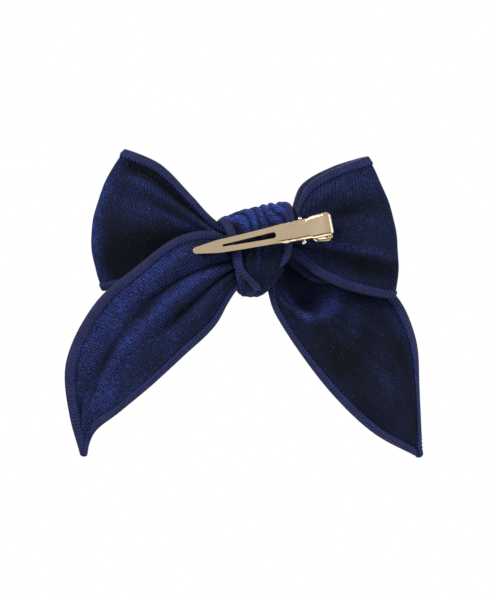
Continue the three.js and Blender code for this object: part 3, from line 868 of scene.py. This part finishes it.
def thread_material():
    """Textured polyester overlocking thread: soft, slightly glossy, with a fine twist. Its colour
    carries painted shade between the stitches and painted light on their tops, from the piece's
    painted light attribute."""
    look = settings("bow_edging")
    material, tree = new_material("overlocking thread, textured polyester")
    strip = add_node(tree, "ShaderNodeUVMap", uv_map="strip")
    where = add_node(tree, "ShaderNodeTexCoord")
    fibres = add_node(
        tree, "ShaderNodeTexNoise", {"Scale": 2.2 / MM, "Detail": 2.0}, {"Vector": (where, "Object")}
    )
    lengths = add_node(
        tree, "ShaderNodeTexNoise", {"Scale": 0.26 / MM, "Detail": 2.0}, {"Vector": (where, "Object")}
    )
    parts = add_node(tree, "ShaderNodeSeparateXYZ", links={"Vector": (strip, "UV")})
    slant = add_node(
        tree, "ShaderNodeMath", links={0: (parts, "X"), 1: (parts, "Y")}, operation="ADD"
    )
    # One twist of the thread every 0.5 mm.
    pitch = {1: 2 * math.pi / (0.5 * MM)}
    turns = add_node(tree, "ShaderNodeMath", pitch, {0: (slant, 0)}, operation="MULTIPLY")
    twist = add_node(tree, "ShaderNodeMath", links={0: (turns, 0)}, operation="SINE")
    shade = add_node(
        tree, "ShaderNodeMath", {1: 0.5}, {0: (fibres, 0), 2: (lengths, 0)}, operation="MULTIPLY_ADD"
    )
    # Painted light on the stitches and painted shade between them, from the piece's attribute, added
    # to the fibres' tone.
    painted_stitch_light = add_node(tree, "ShaderNodeAttribute", attribute_name="painted_lighting")
    shade = add_node(
        tree, "ShaderNodeMath", {1: 0.7}, {0: (painted_stitch_light, "Fac"), 2: (shade, 0)}, operation="MULTIPLY_ADD"
    )
    spread = add_node(
        tree, "ShaderNodeMapRange", {"From Min": 0.75, "From Max": 1.65}, {"Value": (shade, 0)}
    )
    ramp = add_node(tree, "ShaderNodeValToRGB", links={"Fac": (spread, 0)})
    base = linear(look.colour)
    ramp.color_ramp.elements[0].color = tinted(base, 0.3)
    ramp.color_ramp.elements[1].color = tinted(base, 1.35)
    twist_bump = add_node(
        tree, "ShaderNodeBump", {"Strength": 0.4, "Distance": 0.05 * MM}, {"Height": (twist, 0)}
    )
    bump = add_node(
        tree,
        "ShaderNodeBump",
        {"Strength": 0.5, "Distance": 0.1 * MM},
        {"Height": (fibres, 0), "Normal": (twist_bump, 0)},
    )
    shader = add_node(
        tree,
        "ShaderNodeBsdfPrincipled",
        {
            "Roughness": 0.7,
            "IOR": 1.5,
            "Specular IOR Level": 0.3,
            "Sheen Weight": 0.06,
            "Sheen Roughness": 0.4,
            "Sheen Tint": linear("6a74c8"),
        },
        {"Base Color": (ramp, 0), "Normal": (bump, 0)},
    )
    add_node(tree, "ShaderNodeOutputMaterial", links={"Surface": (shader, 0)})
    return material


def plated_material(name, colour, roughness, line_pitch, line_depth):
    """Steel with bright plating: a mirror with faint lines left by rolling or drawing, whose
    pitch and depth are in metres."""
    material, tree = new_material(name)
    where = add_node(tree, "ShaderNodeTexCoord")
    clouds = add_node(
        tree, "ShaderNodeTexNoise", {"Scale": 0.18 / MM, "Detail": 3.0}, {"Vector": (where, "Object")}
    )
    # The rolling lines cross the prong at a slant.
    turned = add_node(
        tree,
        "ShaderNodeMapping",
        {"Rotation": (0, math.radians(35), 0), "Scale": (1, 1, 0.08)},
        {"Vector": (where, "Object")},
    )
    lines = add_node(
        tree, "ShaderNodeTexNoise", {"Scale": 1 / line_pitch, "Detail": 1.0}, {"Vector": (turned, 0)}
    )
    base = linear(colour)
    ramp = add_node(tree, "ShaderNodeValToRGB", links={"Fac": (clouds, 0)})
    ramp.color_ramp.elements[0].position = 0.3
    ramp.color_ramp.elements[0].color = tinted(base, 0.93)
    ramp.color_ramp.elements[1].position = 0.7
    ramp.color_ramp.elements[1].color = base
    spread = {"To Min": 0.8 * roughness, "To Max": 1.3 * roughness}
    rough = add_node(tree, "ShaderNodeMapRange", spread, {"Value": (clouds, 0)})
    # The stamped sheet isn't quite flat, so its reflections swim a little.
    swell = add_node(
        tree, "ShaderNodeBump", {"Strength": 0.25, "Distance": 0.2 * MM}, {"Height": (clouds, 0)}
    )
    bump = add_node(
        tree,
        "ShaderNodeBump",
        {"Strength": 0.35, "Distance": line_depth},
        {"Height": (lines, 0), "Normal": (swell, 0)},
    )
    shader = add_node(
        tree,
        "ShaderNodeBsdfPrincipled",
        {"Metallic": 1.0},
        {"Base Color": (ramp, 0), "Roughness": (rough, 0), "Normal": (bump, 0)},
    )
    add_node(tree, "ShaderNodeOutputMaterial", links={"Surface": (shader, 0)})
    return material


def glue_material():
    """Set hot-melt glue: cloudy, waxy and slightly see-through."""
    material, tree = new_material("hot-melt glue, set")
    where = add_node(tree, "ShaderNodeTexCoord")
    cloud = add_node(
        tree, "ShaderNodeTexNoise", {"Scale": 0.4 / MM, "Detail": 3.0}, {"Vector": (where, "Object")}
    )
    ramp = add_node(tree, "ShaderNodeValToRGB", links={"Fac": (cloud, 0)})
    ramp.color_ramp.elements[0].color = linear("b8b09a")
    ramp.color_ramp.elements[1].color = linear("ddd6c2")
    bump = add_node(
        tree, "ShaderNodeBump", {"Strength": 0.4, "Distance": 0.2 * MM}, {"Height": (cloud, 0)}
    )
    shader = add_node(
        tree,
        "ShaderNodeBsdfPrincipled",
        {"Roughness": 0.35, "IOR": 1.48, "Subsurface Weight": 0.3, "Subsurface Scale": 2 * MM},
        {"Base Color": (ramp, 0), "Normal": (bump, 0)},
    )
    add_node(tree, "ShaderNodeOutputMaterial", links={"Surface": (shader, 0)})
    return material


def card_material():
    """Smooth white card, matt."""
    material, tree = new_material("white card, matt")
    where = add_node(tree, "ShaderNodeTexCoord")
    grain = add_node(tree, "ShaderNodeTexNoise", {"Scale": 0.9 / MM}, {"Vector": (where, "Object")})
    bump = add_node(
        tree, "ShaderNodeBump", {"Strength": 0.1, "Distance": 0.1 * MM}, {"Height": (grain, 0)}
    )
    shader = add_node(
        tree,
        "ShaderNodeBsdfPrincipled",
        {"Base Color": linear("f4f4f2"), "Roughness": 0.85},
        {"Normal": (bump, 0)},
    )
    add_node(tree, "ShaderNodeOutputMaterial", links={"Surface": (shader, 0)})
    return material


# ---- operators ---------------------------------------------------------------------------------


def dress(piece, material, body="bow"):
    """Gives a new piece its material and the body it rides on."""
    piece.data.materials.clear()
    piece.data.materials.append(material)
    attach(piece, body)
    return piece


class BOW_OT_stage(bpy.types.Operator):
    """Sets the camera, the soft lights and the pale floor"""

    bl_idname = "bow.stage"
    bl_label = "Stage"

    def execute(self, context):
        look = settings("bow_stage")
        scene = context.scene
        low, high = (np.array(c) for c in CAD_BOX)
        middle = (low + high) / 2
        data = bpy.data.cameras.new("camera")
        data.lens = look.lens
        half_angle = math.atan(data.sensor_width / 2 / look.lens)
        distance = look.view_height / 2 / math.tan(half_angle)
        camera = bpy.data.objects.new("camera", data)
        scene.collection.objects.link(camera)
        # The bow sits a little above the middle of the frame.
        camera.location = (middle[0] + 1.2 * MM, -distance, middle[2] + 1.2 * MM)
        camera.rotation_euler = (math.pi / 2, 0, 0)
        scene.camera = camera

        deselect_all()
        floor_height = low[2] - look.floor_drop
        bpy.ops.mesh.primitive_circle_add(
            vertices=96, radius=0.2, fill_type="NGON", location=(middle[0], middle[1], floor_height)
        )
        floor = context.object
        floor.name = "floor"
        in_edit_mode(
            floor,
            lambda: bpy.ops.mesh.extrude_region_move(
                TRANSFORM_OT_translate={"value": (0, 0, -4 * MM)}
            ),
        )
        bpy.ops.object.transform_apply(location=True, rotation=True, scale=True)
        floor.data.materials.append(card_material())

        self.light("key", (-0.75, -0.55, 0.6), 0.4, 12.0, middle)
        self.light("fill", (0.6, -0.15, 0.1), 0.6, 3.6, middle)
        self.light("display_side", (0.2, 0.8, 0.5), 0.7, 9.0, middle)
        self.world(scene)
        scene.view_settings.view_transform = "Standard"
        return {"FINISHED"}

    def light(self, name, place, size, power, target):
        data = bpy.data.lights.new(name, "AREA")
        data.size = size
        data.energy = power
        lamp = bpy.data.objects.new(name, data)
        bpy.context.scene.collection.objects.link(lamp)
        lamp.location = place
        toward = Vector(target) - Vector(place)
        lamp.rotation_euler = toward.to_track_quat("-Z", "Y").to_euler()

    def world(self, scene):
        """White to the camera, and a soft grey-to-white room to everything else."""
        world = bpy.data.worlds.new("studio")
        world.use_nodes = True
        tree = world.node_tree
        tree.nodes.clear()
        where = add_node(tree, "ShaderNodeTexCoord")
        parts = add_node(tree, "ShaderNodeSeparateXYZ", links={"Vector": (where, "Generated")})
        height = add_node(
            tree, "ShaderNodeMapRange", {"From Min": -1.0, "From Max": 1.0}, {"Value": (parts, "Z")}
        )
        white = (1, 1, 1, 1)
        ramp = add_node(tree, "ShaderNodeValToRGB", links={"Fac": (height, 0)})
        ramp.color_ramp.elements[0].position = 0.35
        ramp.color_ramp.elements[0].color = (0.16, 0.16, 0.17, 1)
        ramp.color_ramp.elements[1].position = 0.62
        ramp.color_ramp.elements[1].color = white
        room = add_node(tree, "ShaderNodeBackground", {"Strength": 0.57}, {"Color": (ramp, 0)})
        plain = add_node(tree, "ShaderNodeBackground", {"Color": white, "Strength": 1.0})
        ray = add_node(tree, "ShaderNodeLightPath")
        views = {0: (ray, "Is Camera Ray"), 1: (room, 0), 2: (plain, 0)}
        mix = add_node(tree, "ShaderNodeMixShader", links=views)
        add_node(tree, "ShaderNodeOutputWorld", links={"Surface": (mix, 0)})
        scene.world = world


def velvet_piece(name, along, across):
    """One stretch of velvet between its two overlocked edges."""
    cloth = cloth_of(name)
    parts = MeshParts()
    # The velvet runs a little way under its edgings.
    tuck = 0.3 * MM
    first, last = STRIPS[name][:2]

    def bare(u, edge):
        """How far an edging has left the velvet's side, from 0 to 1."""
        inward, _, under = EDGE_LAYS.get((name, edge), level_lay)(u)
        return np.clip(inward / 0.06 + under, 0, 1)

    def low(u):
        return (cloth.edge_share(u) - tuck / cloth.width(u)) * (1 - bare(u, first))

    def high(u):
        return 1 - (cloth.edge_share(u) - tuck / cloth.width(u)) * (1 - bare(u, last))

    shell_grid(parts, cloth, low, high, settings("bow_velvet").thickness, along, across)
    piece = parts.build(name + "_velvet")
    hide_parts(name)
    return piece


class RaisedCloth(Cloth):
    """A cloth's surface as an edging sees it, which may lie in from the side, above the cloth or
    turned under it."""

    def __init__(self, cloth, lay, side):
        self.cloth, self.edge_lay, self.side = cloth, lay, side
        self.closed, self.outward = cloth.closed, cloth.outward
        self.smooth_at, self.width = cloth.smooth_at, cloth.width

    def lay(self, u, v):
        """Painted shade: the band under the wound stitches is drawn dark, as it shows only between
        them.
        """
        return 0 * u + 0.2

    def at(self, u, v):
        if self.edge_lay is level_lay:
            return self.cloth.at(u, v)
        inward, lift, under = self.edge_lay(u)
        surface = self.cloth.smooth_at
        moved = v + inward * (1 if self.side == 0 else -1)
        above = self.cloth.square_of(surface, u, moved) * (lift * MM)[..., None]
        place = surface(u, moved) + above
        # Turned under, the band runs into the knot instead of on across it.
        join = self.cloth.edge_share(u) if self.side == 0 else 1 - self.cloth.edge_share(u)
        beyond = np.abs(v - join) * KNOT_WIDTH
        tucked = surface(u, join) - self.cloth.square_of(surface, u, join) * beyond[..., None]
        return place * (1 - under)[..., None] + tucked * under[..., None]


def edging_piece(name, edge, side):
    """An overlocked edge: a band of thread with stitches wound over it and a chain on each face."""
    look = settings("bow_edging")
    flat_cloth = cloth_of(name)
    cloth = RaisedCloth(flat_cloth, EDGE_LAYS.get((name, edge), level_lay), side)
    parts = MeshParts()

    def low(u):
        return 0 * u if side == 0 else 1 - flat_cloth.edge_share(u)

    def high(u):
        return flat_cloth.edge_share(u) if side == 0 else 0 * u + 1

    shell_grid(parts, cloth, low, high, look.thickness, 180, 5, rounding=0.6)

    u = np.linspace(0, 1, 601)
    if not cloth.closed:
        u = 0.004 + 0.992 * u
    centre = cloth.at(u, (low(u) + high(u)) / 2)
    length = length_along(centre)
    stitches = int(length[-1] / look.stitch_pitch)
    steps = STITCH_STEPS
    turn = np.arange(stitches * steps + (0 if cloth.closed else 1))
    wound = np.interp(turn / (stitches * steps) * length[-1], length, u)
    angle = 2 * np.pi * turn / steps
    middle_v = (low(wound) + high(wound)) / 2
    half_v = (high(wound) - low(wound)) / 2
    middle = cloth.at(wound, middle_v)
    square = cloth.square(wound, middle_v)
    across = cloth.at(wound, middle_v + half_v) - middle
    uneven = 1 + 0.05 * np.sin(2.1 * turn / steps) * np.sin(0.7 * turn / steps)
    thread_v = middle_v + half_v * 0.8 * np.cos(angle) * uneven
    lift = (np.sin(angle) * uneven)[:, None] * look.thickness * 0.42
    path = cloth.at(wound, thread_v) + cloth.square(wound, thread_v) * lift
    away = unit(unit(across) * np.cos(angle)[:, None] * 0.5 + square * np.sin(angle)[:, None])
    # Painted light on the wound stitches: lighter where they cross the faces, darker where they turn
    # round the edge.
    top = 0.65 + 0.35 * np.abs(np.sin(angle))
    tube_grid(parts, path, away, look.thread_radius, closed=cloth.closed, lay=top[:, None])

    # The looper threads zigzag over each face between the inner side and the middle.
    chain_u = u[:-1] if cloth.closed else u
    chain_length = length[:-1] if cloth.closed else length
    beats = max(1, round(length[-1] / look.stitch_pitch)) / length[-1]
    fine = np.arange(ZIGZAG_STEPS * int(length[-1] * beats))
    fine_u = np.interp(fine / (ZIGZAG_STEPS * beats), chain_length, chain_u)
    phase = 2 * np.pi * fine / ZIGZAG_STEPS
    zigzag = 0.5 + 0.5 * np.arcsin(0.98 * np.sin(phase)) * 2 / np.pi
    inner_v = high(fine_u) if side == 0 else low(fine_u)
    outer_v = low(fine_u) if side == 0 else high(fine_u)
    chain_v = inner_v + (outer_v - inner_v) * 0.5 * zigzag
    for face in (1, -1):
        square = cloth.square(fine_u, chain_v) * face
        above = (look.thickness * (0.36 + 0.13 * zigzag))[:, None]
        path = cloth.at(fine_u, chain_v) + square * above
        # The looper chains are drawn fully lit, as painted light.
        tube_grid(parts, path, square, look.thread_radius * 0.75, closed=cloth.closed, lay=1.0)
    node = f"{name}_{edge}_edging"
    piece = parts.build(node + "_stitched")
    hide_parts(node)
    return piece


def edgings_of(name):
    first, last = STRIPS[name][:2]
    return [edging_piece(name, first, 0), edging_piece(name, last, 1)]


def build_strip(name, along, across, material, thread):
    velvet = dress(velvet_piece(name, along, across), material)
    edges = [dress(piece, thread) for piece in edgings_of(name)]
    return velvet, edges


class BOW_OT_loops(bpy.types.Operator):
    """Builds the two loops with their overlocked edges"""

    bl_idname = "bow.loops"
    bl_label = "Loops"

    def execute(self, context):
        material, thread = velvet_material(), thread_material()
        for name in ("left_loop", "right_loop"):
            velvet, edges = build_strip(name, 220, 88, material, thread)
        return {"FINISHED"}


class BOW_OT_tails(bpy.types.Operator):
    """Builds the two pointed tails with their overlocked edges"""

    bl_idname = "bow.tails"
    bl_label = "Tails"

    def execute(self, context):
        material, thread = velvet_material("knitted velvet, brushed pile", 0.4), thread_material()
        for name in ("left_tail", "right_tail"):
            velvet, edges = build_strip(name, 200, 88, material, thread)
        return {"FINISHED"}


class BOW_OT_knot(bpy.types.Operator):
    """Builds the ruched wrap, its overlocked edges and the gathered middle inside it"""

    bl_idname = "bow.knot"
    bl_label = "Knot"

    def execute(self, context):
        material, thread = velvet_material("knitted velvet, ruched", 0.9), thread_material()
        velvet, edges = build_strip("knot_wrap", 240, 96, material, thread)
        core = self.core()
        dress(core, material)
        return {"FINISHED"}

    def core(self):
        """A bundle of soft pleats that run from loop to loop."""
        low, high = (np.array(c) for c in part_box("knot_core"))
        middle, half = (low + high) / 2, (high - low) / 2
        around = np.arange(CORE_SIDES) / CORE_SIDES * 2 * np.pi
        u, turn = np.meshgrid(np.linspace(0, 1, CORE_ROWS), around, indexing="ij")
        along = -np.cos(np.pi * u)
        round_off = np.sin(np.pi * u) ** 0.6
        pleat = 1 + 0.07 * np.cos(11 * turn + 0.8 * np.sin(3 * turn))
        places = np.stack(
            [
                middle[0] + half[0] * along,
                middle[1] + half[1] * 0.93 * round_off * pleat * np.cos(turn),
                middle[2] + half[2] * 0.93 * round_off * pleat * np.sin(turn),
            ],
            -1,
        )
        parts = MeshParts()
        lengthwise = np.linspace(0, 2 * half[0], CORE_ROWS)
        girth = np.linspace(0, 0.04, CORE_SIDES + 1)
        parts.grid(places, np.stack(np.meshgrid(lengthwise, girth, indexing="ij"), -1))
        piece = parts.build("knot_core_gathered")
        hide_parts("knot_core")
        return piece


def refined_copy(node, name, edge_radius):
    """A copy of a CAD node with merged faces and rounded edges, which stands for it."""
    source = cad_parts[node]
    piece = bpy.data.objects.new(name, source.data.copy())
    bpy.context.scene.collection.objects.link(piece)
    in_edit_mode(
        piece,
        lambda: bpy.ops.mesh.remove_doubles(threshold=2e-6),
        lambda: bpy.ops.mesh.dissolve_limited(angle_limit=math.radians(2)),
    )
    pick(piece)
    if edge_radius:
        bevel = piece.modifiers.new("rounded edges", "BEVEL")
        bevel.width = edge_radius
        bevel.segments = 3
        bevel.limit_method = "ANGLE"
        bevel.angle_limit = math.radians(28)
        bpy.ops.object.modifier_apply(modifier=bevel.name)
    bpy.ops.object.shade_smooth_by_angle(angle=math.radians(32))
    even = piece.modifiers.new("flat faces stay flat", "WEIGHTED_NORMAL")
    even.keep_sharp = True
    even.weight = 100
    bpy.ops.object.modifier_apply(modifier=even.name)
    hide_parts(node)
    return piece


class BOW_OT_clip(bpy.types.Operator):
    """Builds the two plated jaws, their pin, the torsion spring and the glue under them"""

    bl_idname = "bow.clip"
    bl_label = "Clip"

    def execute(self, context):
        look = settings("bow_clip")
        plating = plated_material(
            "stamped steel, pale gold plated", look.plating, 0.16, 0.45 * MM, 0.02 * MM
        )
        for node, body in (("clip_upper_jaw", "upper_jaw"), ("clip_lower_jaw", "bow")):
            jaw = refined_copy(node, node + "_plated", look.edge_radius)
            dress(jaw, plating, body)
        pin = refined_copy("clip_pivot_pin", "clip_pivot_pin_plated", 0.12 * MM)
        turned = plated_material("turned rivet, plated", "efe6d4", 0.12, 0.3 * MM, 0.01 * MM)
        dress(pin, turned)
        glue = refined_copy("glue_pad", "glue_bead", 0.22 * MM)
        dress(glue, glue_material())
        self.spring()
        return {"FINISHED"}

    def spring(self):
        """The spring, whose coil winds between the jaws."""
        look = settings("bow_clip")
        wire = refined_copy("clip_torsion_spring", "clip_torsion_spring_wire", 0.0)
        wire.data.materials.clear()
        wire.data.materials.append(
            plated_material("drawn spring wire, oiled", look.wire, 0.25, 0.2 * MM, 0.01 * MM)
        )
        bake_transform(wire)


class BOW_PT_panel(bpy.types.Panel):
    """Lists the bow's operators and settings"""

    bl_idname = "BOW_PT_panel"
    bl_label = "Hair Bow"
    bl_space_type = "VIEW_3D"
    bl_region_type = "UI"
    bl_category = "Bow"

    def draw(self, context):
        for operator in OPERATORS:
            self.layout.operator(operator.bl_idname)
        for name, group in SETTINGS.items():
            box = self.layout.box()
            box.label(text=group.__name__)
            for prop in group.__annotations__:
                box.prop(getattr(context.scene, name), prop)


OPERATORS = [BOW_OT_stage, BOW_OT_loops, BOW_OT_tails, BOW_OT_knot, BOW_OT_clip]
SETTINGS = {
    "bow_velvet": VelvetSettings,
    "bow_edging": EdgingSettings,
    "bow_clip": ClipSettings,
    "bow_stage": StageSettings,
}


def register():
    for cls in [*SETTINGS.values(), *OPERATORS, BOW_PT_panel]:
        bpy.utils.register_class(cls)
    for name, group in SETTINGS.items():
        setattr(bpy.types.Scene, name, bpy.props.PointerProperty(type=group))


def unregister():
    for name in SETTINGS:
        delattr(bpy.types.Scene, name)
    for cls in reversed([*SETTINGS.values(), *OPERATORS, BOW_PT_panel]):
        bpy.utils.unregister_class(cls)


def main():
    register()
    bpy.ops.bow.stage()
    bpy.ops.bow.loops()
    bpy.ops.bow.tails()
    bpy.ops.bow.knot()
    bpy.ops.bow.clip()


if __name__ == "__main__":
    main()
